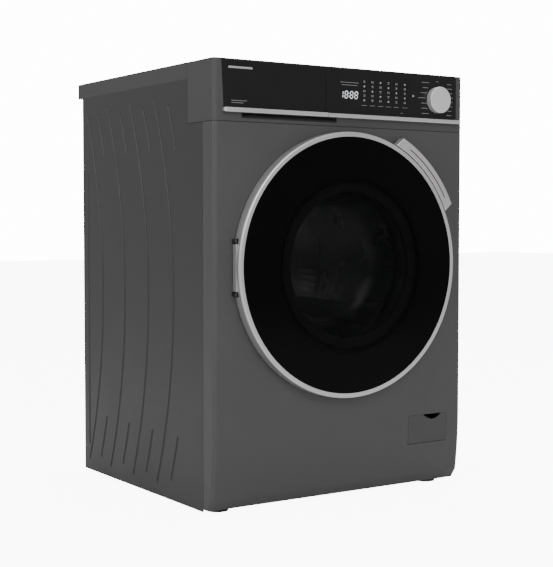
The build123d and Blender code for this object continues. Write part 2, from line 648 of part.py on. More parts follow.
lug_z = 600.0
lug_x = sqrt(tub_radius ** 2 - (lug_z - door_z) ** 2)
rod_top = door_z - sqrt(tub_radius ** 2 - damper_x ** 2)
with BuildPart() as tub_rear:
    for side in (-1, 1):
        with Locations((side * (lug_x + spring_x) / 2, spring_y, lug_z)):
            Box(spring_x + 10 - lug_x, 16, 8)
        with Locations((side * damper_x, damper_y, rod_top + 2)):
            Box(22, 22, 40)
        bar(side * 25 - 5, side * 25 + 5, 120, 180, 168, 204)
    post(spout_x, spout_y, spout_radius, 640, spout_low + 9)
    barrel(0, door_z, tub_radius - tub_wall / 2, tub_split_y, tub_back_y + 1, Mode.SUBTRACT)
    add(lathe([(tub_split_y + 1, tub_radius - tub_wall), (tub_split_y + 1, 271), (tub_split_y + 11, 271),
               (tub_split_y + 11, tub_radius), (tub_back_y, tub_radius), (tub_back_y, hub_radius),
               (hub_end_y, hub_radius), (hub_end_y, 26), (hub_end_y - 16, 26), (hub_end_y - 16, 20),
               (tub_back_y + 16, 20), (tub_back_y + 16, 31), (tub_back_y, 31), (tub_back_y, 20),
               (tub_back_y - 6, 20), (tub_back_y - 6, tub_radius - tub_wall)]))
    for angle in range(0, 360, 45):
        with Locations(on_radius((hub_radius + 222) / 2, tub_back_y + 8, angle + 22.5)):
            Box(226 - hub_radius, 18, 5)
    post(spout_x, spout_y, spout_radius - 4, 620, spout_low + 13, Mode.SUBTRACT)
    for x in (-spring_x, spring_x):
        post(x, spring_y, 3.2, lug_z - 10, lug_z + 10, Mode.SUBTRACT)

with BuildPart() as counterweights:
    with BuildSketch(facing(tub_front_y)):
        with Locations((0, door_z)):
            Circle(250)
            Circle(205, mode=Mode.SUBTRACT)
        for tilt in (-1, 1):
            with Locations((tilt * 260, door_z)):
                Rectangle(240, 190, mode=Mode.SUBTRACT)
    extrude(amount=28)

with BuildPart() as bearings:
    for y0, y1, outer in ((tub_back_y, tub_back_y + 16, 31), (hub_end_y - 16, hub_end_y - 1, 26)):
        barrel(0, door_z, outer, y0, y1)
        barrel(0, door_z, outer - 4, y0 - 1, y0 + 1, Mode.SUBTRACT)
        barrel(0, door_z, shaft_radius + 4, y0 - 1, y0 + 1)
    barrel(0, door_z, shaft_radius, tub_back_y - 10, hub_end_y + 10, Mode.SUBTRACT)
    barrel(0, door_z, 60, tub_back_y - 10, tub_back_y, Mode.SUBTRACT)

with BuildPart() as heater:
    for x in (-28, 28):
        barrel(x, door_z - 248.5, 4, 0, tub_back_y - 6)
    with BuildSketch(Plane.XY.offset(door_z - 248.5 - 4)):
        with Locations((0, 0)):
            Rectangle(64, 8)
    extrude(amount=8)
    barrel(0, door_z - 240, 6, tub_back_y - 12, tub_back_y - 6)

# ------------------------------------------------------------------ drum
with BuildPart() as drum_shell:
    add(lathe([(drum_front_y - 3, drum_mouth), (drum_front_y - 3, drum_mouth + 2),
               (drum_front_y, drum_mouth + 4), (drum_front_y, drum_radius - 6),
               (drum_front_y + 6, drum_radius), (drum_back_y - 6, drum_radius),
               (drum_back_y, drum_radius - 6), (drum_back_y, 20), (drum_back_y - 1, 20),
               (drum_back_y - 1, drum_radius - 6.4), (drum_back_y - 6.4, drum_radius - 1),
               (drum_front_y + 6.4, drum_radius - 1), (drum_front_y + 1, drum_radius - 6.4),
               (drum_front_y + 1, drum_mouth + 4), (drum_front_y - 2, drum_mouth)]))

with BuildPart() as drum_lifters:
    with BuildSketch(facing(drum_back_y - 12)):
        for angle in (90, 210, 330):
            with Locations(Location((0, door_z, 0), angle)):
                Polygon((252, -27), (228, -25), (196, -10), (193, 0), (196, 10), (228, 25), (252, 27),
                        align=None)
        with Locations((0, door_z)):
            Circle(drum_radius - 1.1, mode=Mode.INTERSECT)
    extrude(amount=drum_back_y - drum_front_y - 30)

with BuildPart() as drum_spider:
    with BuildSketch(facing(drum_back_y + 30)):
        with Locations((0, door_z)):
            Circle(40)
        for angle in (90, 210, 330):
            with Locations(Location((0, door_z, 0), angle)):
                Polygon((0, -26), (225, -14), (225, 14), (0, 26), align=None)
    extrude(amount=29.9)
    barrel(0, door_z, shaft_radius - 0.03, drum_back_y + 20, hub_end_y + 5)
    barrel(0, door_z, 12.5, hub_end_y + 4, pulley_y + 18)

with BuildPart() as drum_pulley:
    barrel(0, door_z, pulley_radius, pulley_y, pulley_y + 16)
    barrel(0, door_z, pulley_radius - 10, pulley_y - 1, pulley_y + 17, Mode.SUBTRACT)
    barrel(0, door_z, 24, pulley_y, pulley_y + 16)
    for angle in range(0, 360, 72):
        with Locations(on_radius(75, pulley_y + 8, angle + 90)):
            Box(116, 8, 18)
    barrel(0, door_z, 12.5, pulley_y - 1, pulley_y + 17, Mode.SUBTRACT)

# ------------------------------------------------------------------ motor and belt
with BuildPart() as motor_housing:
    barrel(0, motor_z, motor_radius, 118, 222)
    barrel(0, motor_z, motor_radius - 12, 110, 228)
    for x in (-25, 25):
        bar(x - 5, x + 5, 125, 175, motor_z, 167.9)
    barrel(0, motor_z, 7 + running_gap, 120, 230, Mode.SUBTRACT)

with BuildPart() as motor_shaft:
    barrel(0, motor_z, 7, 122, pulley_y + 14)
    barrel(0, motor_z, motor_pulley, pulley_y + 1, pulley_y + 15)

with BuildPart() as drive_belt:
    with BuildSketch(facing(pulley_y + 14)):
        with Locations((0, door_z)):
            Circle(pulley_radius + belt_gap + belt_thick)
        with Locations((0, motor_z)):
            Circle(motor_pulley + belt_gap + belt_thick)
        make_hull()
    extrude(amount=belt_width)
    with BuildSketch(facing(pulley_y + 15)):
        with Locations((0, door_z)):
            Circle(pulley_radius + belt_gap)
        with Locations((0, motor_z)):
            Circle(motor_pulley + belt_gap)
        make_hull()
    extrude(amount=belt_width + 2, mode=Mode.SUBTRACT)

# ------------------------------------------------------------------ suspension
with BuildPart() as damper_cylinders:
    for x in (-damper_x, damper_x):
        post(x, damper_y, 15, base_z, 170)
        post(x, damper_y, damper_rod + running_gap, base_z + 12, 171, Mode.SUBTRACT)

with BuildPart() as damper_rods:
    for x in (-damper_x, damper_x):
        post(x, damper_y, damper_rod, 80, rod_top - 18)

with BuildPart() as suspension_springs:
    for x in (-spring_x, spring_x):
        with BuildLine():
            Helix(pitch=9, height=spring_high - spring_low - 6, radius=spring_coil,
                  center=(x, spring_y, spring_low + 3))
        with BuildSketch(Plane(origin=(x + spring_coil, spring_y, spring_low + 3), z_dir=(0, 1, 0))):
            Circle(spring_wire)
        sweep()

# ------------------------------------------------------------------ pump and filter
with BuildPart() as pump_housing:
    barrel(filter_x, filter_z, 24, -262, -180)
    barrel(filter_x, filter_z, 30, -185, -160)
    barrel(filter_x, filter_z, 26, -161, -110)
    bar(filter_x - 14, filter_x + 14, -240, -120, base_z, filter_z - 18)
    with Locations(Location((filter_x - 32, -210, filter_z), (0, 90, 0))):
        Cylinder(16, 40)
    barrel(filter_x, filter_z, filter_bore, -263, -186, Mode.SUBTRACT)
    barrel(filter_x, filter_z, 24, -187, -162, Mode.SUBTRACT)
    barrel(filter_x, filter_z, 2.5 + running_gap, -163, -130, Mode.SUBTRACT)
    with Locations(Location((filter_x - 36, -210, filter_z), (0, 90, 0))):
        Cylinder(12, 40, mode=Mode.SUBTRACT)

with BuildPart() as pump_impeller:
    barrel(filter_x, filter_z, 8, -182, -166)
    barrel(filter_x, filter_z, 19, -168, -166)
    for angle in range(0, 360, 60):
        with Locations(Location((filter_x, -175, filter_z), (0, -angle, 0)) * Location((12, 0, 0))):
            Box(13, 14, 2)
    barrel(filter_x, filter_z, 2.5, -167, -132)

with BuildPart() as filter_plug:
    barrel(filter_x, filter_z, 24, -270, -262.2)
    bar(filter_x - 3, filter_x + 3, -274.5, -269, filter_z - 18, filter_z + 18)
    barrel(filter_x, filter_z, filter_bore - 0.08, -263, -248)
    barrel(filter_x, filter_z, 7, -249, -192)
    for y in (-236, -222, -208, -194):
        barrel(filter_x, filter_z, 17, y, y + 3)

with BuildPart() as flap_frame:
    bar(flap_left - 10, flap_right + 10, -275.8, -262, flap_low - 9, flap_high + 9)
    bar(flap_left - 4, flap_right + 4, -277, -261, flap_low - 3, flap_high + 3, Mode.SUBTRACT)

bead_z = flap_low + flap_gap + flap_bead
with BuildPart() as service_flap:
    add(front_block(0, 0))
    add(front_block(flap_thick, 5), mode=Mode.SUBTRACT)
    with BuildSketch(facing(front_y + 12)):
        with Locations(((flap_left + flap_right) / 2, (flap_low + flap_high) / 2)):
            RectangleRounded(flap_right - flap_left - 2 * flap_gap, flap_high - flap_low - 2 * flap_gap,
                             flap_corner - flap_gap)
        with Locations(((flap_left + flap_right) / 2, flap_low + flap_gap + flap_corner / 2)):
            Rectangle(flap_right - flap_left - 2 * flap_gap, flap_corner)
        with Locations((223, flap_high + 20)):
            Circle(31, mode=Mode.SUBTRACT)
    extrude(amount=14, mode=Mode.INTERSECT)
    bar(flap_left, flap_right, front_y, front_y + 12, flap_low, bead_z, Mode.SUBTRACT)
    with Locations(Location(((flap_left + flap_right) / 2, toe_y(bead_z) + flap_bead, bead_z), (0, 90, 0))):
        Cylinder(flap_bead, flap_right - flap_left - 2 * flap_gap)

with BuildPart() as sump_hose:
    with BuildLine() as sump_path:
        FilletPolyline((sump_x, sump_y, sump_low - 0.5), (sump_x, sump_y, filter_z + 10),
                       (sump_x + 24, -170, filter_z), (sump_x + 60, -210, filter_z),
                       (filter_x - 52.5, -210, filter_z), radius=22)
    for radius, mode in ((sump_radius - 1, Mode.ADD), (sump_radius - 4, Mode.SUBTRACT)):
        with BuildSketch(Plane(sump_path.wires()[0] @ 0, z_dir=sump_path.wires()[0] % 0)):
            Circle(radius)
        sweep(path=sump_path.wires()[0], mode=mode)


# ------------------------------------------------------------------ feet
def levelling_foot(x, y):
    """Pad with a threaded stem that screws into the base."""
    with BuildPart() as foot:
        post(x, y, foot_pad, 0, 8)
        chamfer(foot.faces().sort_by(Axis.Z)[-1].edges(), 2)
        post(x, y, foot_stem, 7, base_z + 22)
    return foot


foot_front_left = levelling_foot(-foot_x, 20 - foot_y)
foot_front_right = levelling_foot(foot_x, 20 - foot_y)
foot_rear_left = levelling_foot(-foot_x, foot_y)
foot_rear_right = levelling_foot(foot_x, foot_y)

# ------------------------------------------------------------------ export
pieces = {
    "side_left": side_left, "side_right": side_right, "front_panel": front_panel,
    "rear_panel": rear_panel, "rear_screws": rear_screws, "rear_grommets": rear_grommets,
    "base_tray": base_tray, "worktop": worktop, "top_braces": top_braces, "fascia": fascia,
    "control_glass": control_glass, "trim_strip": trim_strip, "control_board": control_board,
    "selector_knob": selector_knob, "drawer_front": drawer_front,
    "drawer_trim": drawer_trim, "drawer_tray": drawer_tray, "siphon_cap": siphon_cap,
    "dispenser_housing": dispenser_housing, "dispenser_hose": dispenser_hose,
    "inlet_valve": inlet_valve, "inlet_hose": inlet_hose, "pressure_switch": pressure_switch,
    "door_glass": door_glass, "door_ring": door_ring, "door_frame": door_frame,
    "door_bowl": door_bowl, "door_hinge": door_hinge, "hinge_bracket": hinge_bracket,
    "door_handle": door_handle, "handle_inlay": handle_inlay, "latch_hook": latch_hook,
    "door_lock": door_lock, "gasket": gasket, "tub_front": tub_front, "tub_seal": tub_seal,
    "tub_rear": tub_rear, "counterweights": counterweights, "bearings": bearings, "heater": heater,
    "drum_shell": drum_shell, "drum_lifters": drum_lifters, "drum_spider": drum_spider,
    "drum_pulley": drum_pulley, "motor_housing": motor_housing,
    "motor_shaft": motor_shaft, "drive_belt": drive_belt, "damper_cylinders": damper_cylinders,
    "damper_rods": damper_rods, "suspension_springs": suspension_springs,
    "pump_housing": pump_housing, "pump_impeller": pump_impeller, "filter_plug": filter_plug,
    "flap_frame": flap_frame, "service_flap": service_flap, "sump_hose": sump_hose,
    "foot_front_left": foot_front_left, "foot_front_right": foot_front_right,
    "foot_rear_left": foot_rear_left, "foot_rear_right": foot_rear_right,
}
os.makedirs("parts", exist_ok=True)
for name, piece in pieces.items():
    piece.part.label = name
    export_step(piece.part, f"parts/{name}.step")
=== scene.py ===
"""Looks of a front load washing machine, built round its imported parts."""

import json
import logging
import math
from dataclasses import dataclass, field
from enum import Enum

import bmesh
import bpy
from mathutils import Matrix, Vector

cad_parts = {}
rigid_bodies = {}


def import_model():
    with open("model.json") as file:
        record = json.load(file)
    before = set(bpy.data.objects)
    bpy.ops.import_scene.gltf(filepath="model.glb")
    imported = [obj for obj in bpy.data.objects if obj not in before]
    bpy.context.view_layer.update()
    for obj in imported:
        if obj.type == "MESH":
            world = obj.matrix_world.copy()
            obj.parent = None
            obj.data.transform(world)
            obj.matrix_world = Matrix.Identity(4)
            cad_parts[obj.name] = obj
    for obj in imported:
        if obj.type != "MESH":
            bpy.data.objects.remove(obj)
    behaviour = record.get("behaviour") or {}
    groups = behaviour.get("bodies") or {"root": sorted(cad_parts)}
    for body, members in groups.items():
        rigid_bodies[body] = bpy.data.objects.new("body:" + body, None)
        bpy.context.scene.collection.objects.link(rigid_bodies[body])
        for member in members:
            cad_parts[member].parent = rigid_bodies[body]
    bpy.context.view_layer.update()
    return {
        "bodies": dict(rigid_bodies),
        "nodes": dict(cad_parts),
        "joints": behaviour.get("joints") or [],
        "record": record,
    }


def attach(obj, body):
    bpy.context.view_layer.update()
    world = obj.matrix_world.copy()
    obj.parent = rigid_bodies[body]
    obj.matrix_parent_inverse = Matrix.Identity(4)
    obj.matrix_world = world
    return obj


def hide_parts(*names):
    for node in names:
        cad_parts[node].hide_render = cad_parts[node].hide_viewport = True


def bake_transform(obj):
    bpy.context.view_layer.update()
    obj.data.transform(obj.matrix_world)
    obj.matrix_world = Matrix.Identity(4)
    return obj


LOG = logging.getLogger("washer")
MM = 0.001
DOOR_Z = 462.0
Point = tuple[float, float]


# --------------------------------------------------------------------------- shader groups
def new_group(name: str, inputs: list[tuple[str, str, object]],
              outputs: list[tuple[str, str]]) -> bpy.types.ShaderNodeTree:
    """Makes an empty shader group.

    Args:
        name: the group's name.
        inputs: name, socket type and default of each input.
        outputs: name and socket type of each output.

    Returns:
        The group, with its two end nodes in place.
    """
    group = bpy.data.node_groups.new(name, "ShaderNodeTree")
    for label, kind, default in inputs:
        socket = group.interface.new_socket(label, in_out="INPUT", socket_type=kind)
        socket.default_value = default
    for label, kind in outputs:
        group.interface.new_socket(label, in_out="OUTPUT", socket_type=kind)
    group.nodes.new("NodeGroupInput").name = "in"
    group.nodes.new("NodeGroupOutput").name = "out"
    return group


class Wiring:
    """Adds and links nodes in one tree."""

    def __init__(self, tree: bpy.types.ShaderNodeTree) -> None:
        """Keeps the tree."""
        self.tree = tree

    def node(self, kind: str, **settings: object) -> bpy.types.Node:
        """Adds a node.

        Args:
            kind: Blender's node type.
            settings: node properties to set.

        Returns:
            The node.
        """
        made = self.tree.nodes.new(kind)
        for key, value in settings.items():
            setattr(made, key, value)
        return made

    def feed(self, source: object, socket: bpy.types.NodeSocket) -> None:
        """Links a socket, or sets a plain value.

        Args:
            source: an output socket or a value.
            socket: the input that receives it.
        """
        if isinstance(source, bpy.types.NodeSocket):
            self.tree.links.new(source, socket)
        else:
            socket.default_value = source

    def math(self, operation: str, *values: object, clamp: bool = False) -> bpy.types.NodeSocket:
        """Adds a Math node.

        Args:
            operation: the node's operation.
            values: sockets or numbers for its inputs.
            clamp: whether the result is held between 0 and 1.

        Returns:
            The result socket.
        """
        made = self.node("ShaderNodeMath", operation=operation, use_clamp=clamp)
        for index, value in enumerate(values):
            self.feed(value, made.inputs[index])
        return made.outputs[0]

    def between(self, value: object, low: object, high: object) -> bpy.types.NodeSocket:
        """Smooth step of a value from 0 at low to 1 at high.

        Args:
            value: the socket that is mapped.
            low: where the step starts.
            high: where the step ends.

        Returns:
            The result socket.
        """
        made = self.node("ShaderNodeMapRange", interpolation_type="SMOOTHSTEP")
        for socket, source in zip(made.inputs, (value, low, high)):
            self.feed(source, socket)
        return made.outputs[0]

    def mix(self, share: object, first: object, second: object) -> bpy.types.NodeSocket:
        """Mixes two colours.

        Args:
            share: how much of the second.
            first: colour or socket.
            second: colour or socket.

        Returns:
            The mixed colour socket.
        """
        made = self.node("ShaderNodeMix", data_type="RGBA")
        for index, source in ((0, share), (6, first), (7, second)):
            self.feed(source, made.inputs[index])
        return made.outputs[2]

    def use(self, group: bpy.types.ShaderNodeTree, **values: object) -> bpy.types.Node:
        """Places a group.

        Args:
            group: the shader group.
            values: input values, with underscores for spaces.

        Returns:
            The group node.
        """
        made = self.node("ShaderNodeGroup")
        made.node_tree = group
        for key, value in values.items():
            self.feed(value, made.inputs[key.replace("_", " ")])
        return made


def build_grain_group() -> bpy.types.ShaderNodeTree:
    """Moulded or painted grain: a height, and a slow mottle over the surface.

    Returns:
        The shader group.
    """
    group = new_group("moulded_grain", [("Grain Scale", "NodeSocketFloat", 600.0),
                                        ("Mottle Scale", "NodeSocketFloat", 9.0),
                                        ("Stretch", "NodeSocketVector", (1.0, 1.0, 1.0))],
                      [("Height", "NodeSocketFloat"), ("Mottle", "NodeSocketFloat")])
    w = Wiring(group)
    start, end = group.nodes["in"], group.nodes["out"]
    place = w.node("ShaderNodeTexCoord")
    stretch = w.node("ShaderNodeVectorMath", operation="MULTIPLY")
    w.feed(place.outputs["Object"], stretch.inputs[0])
    w.feed(start.outputs["Stretch"], stretch.inputs[1])
    fine = w.node("ShaderNodeTexNoise")
    fine.inputs["Detail"].default_value = 2.0
    w.feed(stretch.outputs[0], fine.inputs["Vector"])
    w.feed(start.outputs["Grain Scale"], fine.inputs["Scale"])
    slow = w.node("ShaderNodeTexNoise")
    slow.inputs["Detail"].default_value = 4.0
    w.feed(place.outputs["Object"], slow.inputs["Vector"])
    w.feed(start.outputs["Mottle Scale"], slow.inputs["Scale"])
    w.feed(fine.outputs["Fac"], end.inputs["Height"])
    w.feed(w.between(slow.outputs["Fac"], 0.3, 0.7), end.inputs["Mottle"])
    return group


def build_edge_group() -> bpy.types.ShaderNodeTree:
    """Softened edges: a rounded normal, and a mask of where edges are rubbed.

    Returns:
        The shader group.
    """
    group = new_group("rubbed_edge", [("Reach", "NodeSocketFloat", 0.001),
                                      ("Patch Scale", "NodeSocketFloat", 40.0)],
                      [("Normal", "NodeSocketVector"), ("Wear", "NodeSocketFloat")])
    w = Wiring(group)
    start, end = group.nodes["in"], group.nodes["out"]
    rounded = w.node("ShaderNodeBevel", samples=4)
    w.feed(start.outputs["Reach"], rounded.inputs["Radius"])
    shape = w.node("ShaderNodeNewGeometry")
    agree = w.node("ShaderNodeVectorMath", operation="DOT_PRODUCT")
    w.feed(rounded.outputs[0], agree.inputs[0])
    w.feed(shape.outputs["Normal"], agree.inputs[1])
    edge = w.between(w.math("SUBTRACT", 1.0, agree.outputs["Value"]), 0.02, 0.25)
    place = w.node("ShaderNodeTexCoord")
    patch = w.node("ShaderNodeTexNoise")
    w.feed(place.outputs["Object"], patch.inputs["Vector"])
    w.feed(start.outputs["Patch Scale"], patch.inputs["Scale"])
    w.feed(w.math("MULTIPLY", edge, w.between(patch.outputs["Fac"], 0.35, 0.65)),
           end.inputs["Wear"])
    w.feed(rounded.outputs[0], end.inputs["Normal"])
    return group


def build_radius_group() -> bpy.types.ShaderNodeTree:
    """Distance from the drum's axis, stepped: 0 inside a radius and 1 outside it.

    Returns:
        The shader group.
    """
    group = new_group("round_band", [("Centre Height", "NodeSocketFloat", DOOR_Z * MM),
                                     ("Inner", "NodeSocketFloat", 0.16),
                                     ("Outer", "NodeSocketFloat", 0.17)],
                      [("Mask", "NodeSocketFloat")])
    w = Wiring(group)
    start, end = group.nodes["in"], group.nodes["out"]
    place = w.node("ShaderNodeTexCoord")
    split = w.node("ShaderNodeSeparateXYZ")
    w.feed(place.outputs["Object"], split.inputs[0])
    rise = w.math("SUBTRACT", split.outputs[2], start.outputs["Centre Height"])
    away = w.math("SQRT", w.math("ADD", w.math("MULTIPLY", split.outputs[0], split.outputs[0]),
                                 w.math("MULTIPLY", rise, rise)))
    w.feed(w.between(away, start.outputs["Inner"], start.outputs["Outer"]), end.inputs["Mask"])
    return group


def build_hole_group() -> bpy.types.ShaderNodeTree:
    """Rows of round holes over a drum's wall: 1 in a hole.

    Returns:
        The shader group.
    """
    group = new_group("drum_holes", [("Pitch", "NodeSocketFloat", 0.017),
                                     ("Hole", "NodeSocketFloat", 0.0018),
                                     ("Drum Radius", "NodeSocketFloat", 0.24)],
                      [("Mask", "NodeSocketFloat")])
    w = Wiring(group)
    start, end = group.nodes["in"], group.nodes["out"]
    place = w.node("ShaderNodeTexCoord")
    split = w.node("ShaderNodeSeparateXYZ")
    w.feed(place.outputs["Object"], split.inputs[0])
    angle = w.math("ARCTAN2", w.math("SUBTRACT", split.outputs[2], DOOR_Z * MM), split.outputs[0])
    around = w.math("DIVIDE", w.math("MULTIPLY", angle, start.outputs["Drum Radius"]),
                    start.outputs["Pitch"])
    along = w.math("DIVIDE", split.outputs[1], start.outputs["Pitch"])
    row = w.math("FLOOR", along)
    shift = w.math("MULTIPLY", w.math("MODULO", w.math("ABSOLUTE", row), 2.0), 0.5)
    cell_u = w.math("SUBTRACT", w.math("FRACT", w.math("ADD", around, shift)), 0.5)
    cell_v = w.math("SUBTRACT", w.math("FRACT", along), 0.5)
    away = w.math("SQRT", w.math("ADD", w.math("MULTIPLY", cell_u, cell_u),
                                 w.math("MULTIPLY", cell_v, cell_v)))
    size = w.math("DIVIDE", start.outputs["Hole"], start.outputs["Pitch"])
    w.feed(w.math("SUBTRACT", 1.0, w.between(away, w.math("MULTIPLY", size, 0.85), size)),
           end.inputs["Mask"])
    return group


# --------------------------------------------------------------------------- finishes
class Pattern(Enum):
    """What a finish adds over its grain."""

    PLAIN = "plain"
    DRUM_HOLES = "drum holes"
    PRINTED_GLASS = "printed glass"


@dataclass(frozen=True)
class Finish:
    """One finish: its colour, its gloss, and the size of what breaks it up."""

    name: str
    colour: tuple[float, float, float]
    roughness: float
    metallic: float = 0.0
    grain_scale: float = 700.0
    grain_height: float = 0.03
    mottle: float = 0.08
    mottle_scale: float = 9.0
    wear: float = 0.25
    wear_colour: tuple[float, float, float] = (0.35, 0.35, 0.35)
    edge_reach: float = 0.0008
    stretch: tuple[float, float, float] = (1.0, 1.0, 1.0)
    coat: float = 0.0
    specular: float = 0.5
    transmission: float = 0.0
    glow: float = 0.0
    pattern: Pattern = Pattern.PLAIN

    def build(self, groups: "GroupShelf") -> bpy.types.Material:
        """Makes the material.

        Args:
            groups: the shared shader groups.

        Returns:
            The material.
        """
        material = bpy.data.materials.new(self.name)
        material.use_nodes = True
        tree = material.node_tree
        tree.nodes.clear()
        w = Wiring(tree)
        out = w.node("ShaderNodeOutputMaterial")
        shader = w.node("ShaderNodeBsdfPrincipled")
        w.feed(shader.outputs[0], out.inputs[0])
        grain = w.use(groups.grain, Grain_Scale=self.grain_scale, Mottle_Scale=self.mottle_scale,
                      Stretch=self.stretch)
        edge = w.use(groups.edge, Reach=self.edge_reach)
        low = tuple(c * (1 - self.mottle) for c in self.colour) + (1.0,)
        high = tuple(min(1.0, c * (1 + self.mottle)) for c in self.colour) + (1.0,)
        colour = w.mix(grain.outputs["Mottle"], low, high)
        worn = w.math("MULTIPLY", edge.outputs["Wear"], self.wear)
        colour = w.mix(worn, colour, self.wear_colour + (1.0,))
        height = grain.outputs["Height"]
        rough = w.math("ADD", self.roughness - 0.03,
                       w.math("MULTIPLY", grain.outputs["Mottle"], 0.06), clamp=True)
        if self.pattern is Pattern.DRUM_HOLES:
            holes = w.use(groups.holes)
            # Painted shade: each hole is coloured near black for the dark seen through it; the dip
            # in height is the hole itself.
            colour = w.mix(holes.outputs["Mask"], colour, (0.004, 0.004, 0.004, 1.0))
            height = w.math("SUBTRACT", w.math("MULTIPLY", height, 0.05), holes.outputs["Mask"])
        if self.pattern is Pattern.PRINTED_GLASS:
            band = w.use(groups.band, Inner=0.158, Outer=0.176)
            alpha = w.math("ADD", 0.52, w.math("MULTIPLY", band.outputs["Mask"], 0.48), clamp=True)
            w.feed(alpha, shader.inputs["Alpha"])
        bump = w.node("ShaderNodeBump")
        bump.inputs["Strength"].default_value = max(self.grain_height, 0.0)
        bump.inputs["Distance"].default_value = 0.001
        w.feed(height, bump.inputs["Height"])
        w.feed(edge.outputs["Normal"], bump.inputs["Normal"])
        w.feed(colour, shader.inputs["Base Color"])
        w.feed(rough, shader.inputs["Roughness"])
        w.feed(bump.outputs[0], shader.inputs["Normal"])
        shader.inputs["Metallic"].default_value = self.metallic
        shader.inputs["Specular IOR Level"].default_value = self.specular
        shader.inputs["Coat Weight"].default_value = self.coat
        shader.inputs["Coat Roughness"].default_value = 0.08
        shader.inputs["Transmission Weight"].default_value = self.transmission
        if self.glow:
            w.feed(colour, shader.inputs["Emission Color"])
            shader.inputs["Emission Strength"].default_value = self.glow
        return material


@dataclass
class GroupShelf:
    """The shader groups that every finish shares."""

    grain: bpy.types.ShaderNodeTree = field(default_factory=build_grain_group)
    edge: bpy.types.ShaderNodeTree = field(default_factory=build_edge_group)
    band: bpy.types.ShaderNodeTree = field(default_factory=build_radius_group)
    holes: bpy.types.ShaderNodeTree = field(default_factory=build_hole_group)


GRAPHITE_PAINT = Finish("graphite_paint", (0.050, 0.0495, 0.0495), 0.46, grain_scale=900.0,
                        grain_height=0.05, mottle=0.03, wear=0.18, wear_colour=(0.16, 0.16, 0.16),
                        specular=0.35)
# Same graphite paint as the front panel, painted darker: painted shade of the sides that face away
# from the light.
SHADED_SIDE_PAINT = Finish("graphite_paint_shaded_side", (0.030, 0.0295, 0.0295), 0.42, edge_reach=0.0005,
                    grain_scale=900.0, grain_height=0.05, mottle=0.03, wear=0.18,
                    wear_colour=(0.16, 0.16, 0.16), specular=0.3)
GRAPHITE_PLASTIC = Finish("graphite_plastic", (0.048, 0.0475, 0.0475), 0.5, grain_scale=1400.0,
                          grain_height=0.08, mottle=0.03, wear=0.15, wear_colour=(0.14, 0.14, 0.14),
                          specular=0.3)
PANEL_GLASS = Finish("panel_glass", (0.0075, 0.0075, 0.008), 0.14, grain_scale=60.0,
                     grain_height=0.004, mottle=0.1, wear=0.4, wear_colour=(0.07, 0.07, 0.07),
                     specular=0.22)
DOOR_GLASS = Finish("door_glass", (0.0015, 0.0015, 0.0017), 0.06, grain_scale=30.0,
                    grain_height=0.002, mottle=0.1, wear=0.3, wear_colour=(0.05, 0.05, 0.05),
                    specular=0.05, pattern=Pattern.PRINTED_GLASS)
CLEAR_GLASS = Finish("bowl_glass", (0.88, 0.885, 0.88), 0.05, grain_scale=40.0, grain_height=0.01,
                     mottle=0.02, wear=0.0, transmission=1.0)
SILVER = Finish("silver_lacquer", (0.50, 0.50, 0.505), 0.36, metallic=0.75, grain_scale=1800.0,
                grain_height=0.04, mottle=0.04, wear=0.25, wear_colour=(0.75, 0.75, 0.76),
                coat=0.25)
KNOB_SILVER = Finish("knob_silver", (0.62, 0.62, 0.62), 0.34, metallic=0.55, grain_scale=1800.0,
                     grain_height=0.04, mottle=0.04, wear=0.3, wear_colour=(0.85, 0.85, 0.85),
                     coat=0.2)
RED_LACQUER = Finish("red_lacquer", (0.05, 0.003, 0.007), 0.45, grain_height=0.03, mottle=0.1,
                     wear=0.1, wear_colour=(0.2, 0.02, 0.03), specular=0.2)
BLACK_PLASTIC = Finish("black_plastic", (0.014, 0.014, 0.015), 0.5, grain_scale=1200.0,
                       grain_height=0.12, wear_colour=(0.06, 0.06, 0.06))
WHITE_PLASTIC = Finish("white_plastic", (0.70, 0.70, 0.68), 0.42, grain_height=0.06, mottle=0.04,
                       wear_colour=(0.8, 0.8, 0.78))
BLUE_PLASTIC = Finish("blue_plastic", (0.03, 0.14, 0.45), 0.4, grain_height=0.06,
                      wear_colour=(0.1, 0.3, 0.6))
GREY_RUBBER = Finish("grey_rubber", (0.20, 0.20, 0.205), 0.62, grain_scale=300.0, grain_height=0.15,
                     mottle=0.12, wear=0.2, wear_colour=(0.3, 0.3, 0.3))
BLACK_RUBBER = Finish("black_rubber", (0.02, 0.02, 0.02), 0.65, grain_scale=400.0,
                      grain_height=0.15, wear_colour=(0.07, 0.07, 0.07))
TUB_PLASTIC = Finish("tub_plastic", (0.52, 0.52, 0.50), 0.55, grain_scale=250.0, grain_height=0.2,
                     mottle=0.1, wear_colour=(0.6, 0.6, 0.58))
GALVANISED = Finish("galvanised_sheet", (0.50, 0.51, 0.52), 0.42, metallic=0.85, grain_scale=60.0,
                    grain_height=0.03, mottle=0.16, mottle_scale=55.0, wear_colour=(0.7, 0.7, 0.7))
ZINC = Finish("zinc_plate", (0.55, 0.55, 0.53), 0.33, metallic=0.95, grain_scale=500.0,
              grain_height=0.05, mottle=0.1, mottle_scale=60.0, wear_colour=(0.75, 0.75, 0.75))
STAINLESS = Finish("drum_stainless", (0.60, 0.60, 0.60), 0.26, metallic=1.0, grain_scale=220.0,
                   grain_height=0.25, mottle=0.06, stretch=(1.0, 14.0, 1.0),
                   wear_colour=(0.8, 0.8, 0.8), pattern=Pattern.DRUM_HOLES)
STEEL = Finish("ground_steel", (0.50, 0.50, 0.50), 0.28, metallic=1.0, grain_scale=300.0,
               grain_height=0.1, stretch=(1.0, 12.0, 1.0), wear_colour=(0.75, 0.75, 0.75))
CAST_METAL = Finish("cast_aluminium", (0.50, 0.50, 0.50), 0.5, metallic=0.9, grain_scale=350.0,
                    grain_height=0.4, mottle=0.12, mottle_scale=30.0,
                    wear_colour=(0.75, 0.75, 0.75))
CONCRETE = Finish("cast_weight", (0.30, 0.29, 0.27), 0.85, grain_scale=160.0, grain_height=0.6,
                  mottle=0.2, mottle_scale=35.0, wear_colour=(0.42, 0.41, 0.39))
